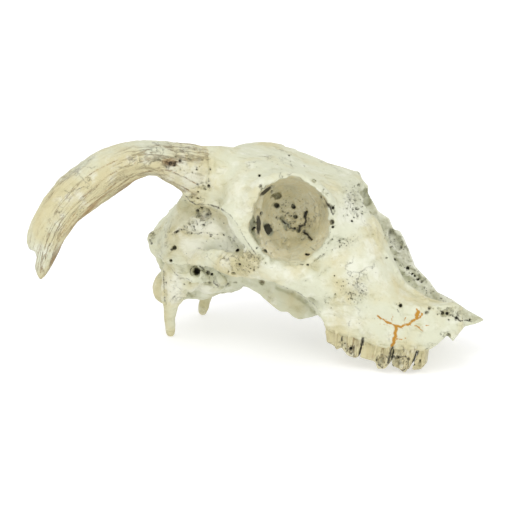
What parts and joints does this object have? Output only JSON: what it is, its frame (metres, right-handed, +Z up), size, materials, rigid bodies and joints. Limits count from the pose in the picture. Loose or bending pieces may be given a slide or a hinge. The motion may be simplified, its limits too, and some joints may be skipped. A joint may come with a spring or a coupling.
{
  "type": "ram skull",
  "caption": "Weathered skull of a ram without lower jaw, with the curved right horn core standing and the nose broken open; lies on its cheek teeth and jugular tips.",
  "frame": {"origin": "middle of the whole skull's box on the floor it lies on", "axes": "+X towards the muzzle, +Y towards the animal's left side, +Z up"},
  "size_m": [0.2036, 0.1469, 0.1102],
  "materials": {
    "bone": "matt, weathered",
    "horn_core": "matt, fibrous",
    "teeth": "satin enamel"
  },
  "bodies": {
    "root": {"occiput": "bone", "palate_wing_right": "bone", "palate_wing_left": "bone", "cheekbone_right": "bone", "cheekbone_left": "bone", "forehead": "bone", "upper_jaw_right": "bone", "upper_jaw_left": "bone", "braincase": "bone", "horn_core_right": "horn_core"}
  },
  "joints": []
}
